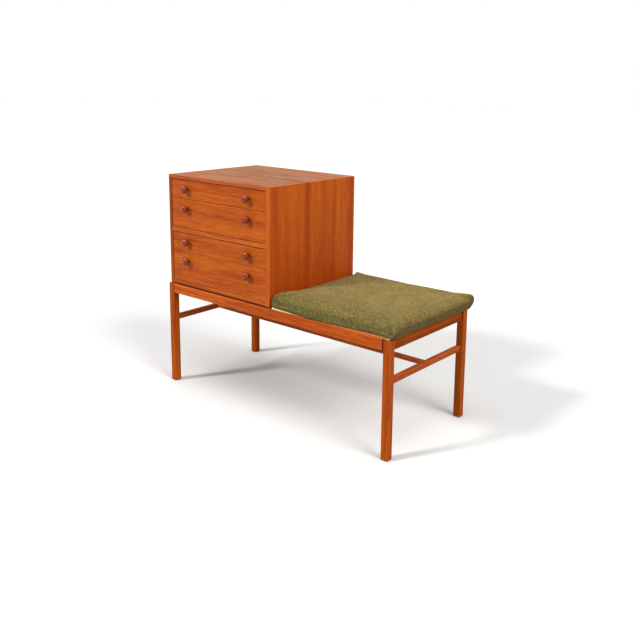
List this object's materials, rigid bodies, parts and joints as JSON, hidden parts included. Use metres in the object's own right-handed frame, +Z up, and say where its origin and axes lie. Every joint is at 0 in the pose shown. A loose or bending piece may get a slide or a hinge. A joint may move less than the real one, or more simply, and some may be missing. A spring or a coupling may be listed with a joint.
{
  "type": "telephone bench",
  "caption": "Low wooden bench with a chest of drawers at one end and a padded lift-off seat at the other, on slim square legs tied by rails and stretchers.",
  "frame": {"origin": "on the floor, under the middle of the whole object's plan, knobs and cushion included", "axes": "+X along the bench from the drawers to the seat, -Y to the front, +Z up"},
  "size_m": [0.996, 0.4634, 0.76],
  "materials": {
    "teak": "oiled satin",
    "secondary_wood": "plain sanded beech",
    "plywood": "plain plywood",
    "seat_fabric": "olive wool weave",
    "screw_steel": "plain steel"
  },
  "bodies": {
    "bench": {"back_rail": "teak", "cabinet_back": "plywood", "cabinet_bearer_left": "secondary_wood", "cabinet_bearer_right": "secondary_wood", "cabinet_bottom": "teak", "cabinet_divider": "teak", "cabinet_screws": "screw_steel", "cabinet_side_left": "teak", "cabinet_side_right": "teak", "cabinet_top": "teak", "drawer_1_runners": "secondary_wood", "drawer_2_runners": "secondary_wood", "drawer_3_runners": "secondary_wood", "drawer_4_runners": "secondary_wood", "end_rail_left": "teak", "end_rail_right": "teak", "end_stretcher_left": "teak", "end_stretcher_right": "teak", "front_rail": "teak", "leg_back_left": "teak", "leg_back_right": "teak", "leg_front_left": "teak", "leg_front_right": "teak", "long_stretcher": "teak", "seat_bearer": "secondary_wood"},
    "drawer_1": {"drawer_1_back": "secondary_wood", "drawer_1_bottom": "plywood", "drawer_1_front": "teak", "drawer_1_knobs": "teak", "drawer_1_side_left": "secondary_wood", "drawer_1_side_right": "secondary_wood"},
    "drawer_2": {"drawer_2_back": "secondary_wood", "drawer_2_bottom": "plywood", "drawer_2_front": "teak", "drawer_2_knobs": "teak", "drawer_2_side_left": "secondary_wood", "drawer_2_side_right": "secondary_wood"},
    "drawer_3": {"drawer_3_back": "secondary_wood", "drawer_3_bottom": "plywood", "drawer_3_front": "teak", "drawer_3_knobs": "teak", "drawer_3_side_left": "secondary_wood", "drawer_3_side_right": "secondary_wood"},
    "drawer_4": {"drawer_4_back": "secondary_wood", "drawer_4_bottom": "plywood", "drawer_4_front": "teak", "drawer_4_knobs": "teak", "drawer_4_side_left": "secondary_wood", "drawer_4_side_right": "secondary_wood"},
    "seat": {"seat_board": "plywood", "seat_battens": "secondary_wood", "seat_cushion": "seat_fabric"}
  },
  "joints": [
    {"name": "drawer_1_slide", "type": "slide", "parent": "bench", "child": "drawer_1", "axis": [0, -1, 0], "range_m": [0, 0.3]},
    {"name": "drawer_2_slide", "type": "slide", "parent": "bench", "child": "drawer_2", "axis": [0, -1, 0], "range_m": [0, 0.3]},
    {"name": "drawer_3_slide", "type": "slide", "parent": "bench", "child": "drawer_3", "axis": [0, -1, 0], "range_m": [0, 0.3]},
    {"name": "drawer_4_slide", "type": "slide", "parent": "bench", "child": "drawer_4", "axis": [0, -1, 0], "range_m": [0, 0.3]},
    {"name": "seat_lift", "type": "slide", "parent": "bench", "child": "seat", "axis": [0, 0, 1], "range_m": [0, 0.12]}
  ]
}
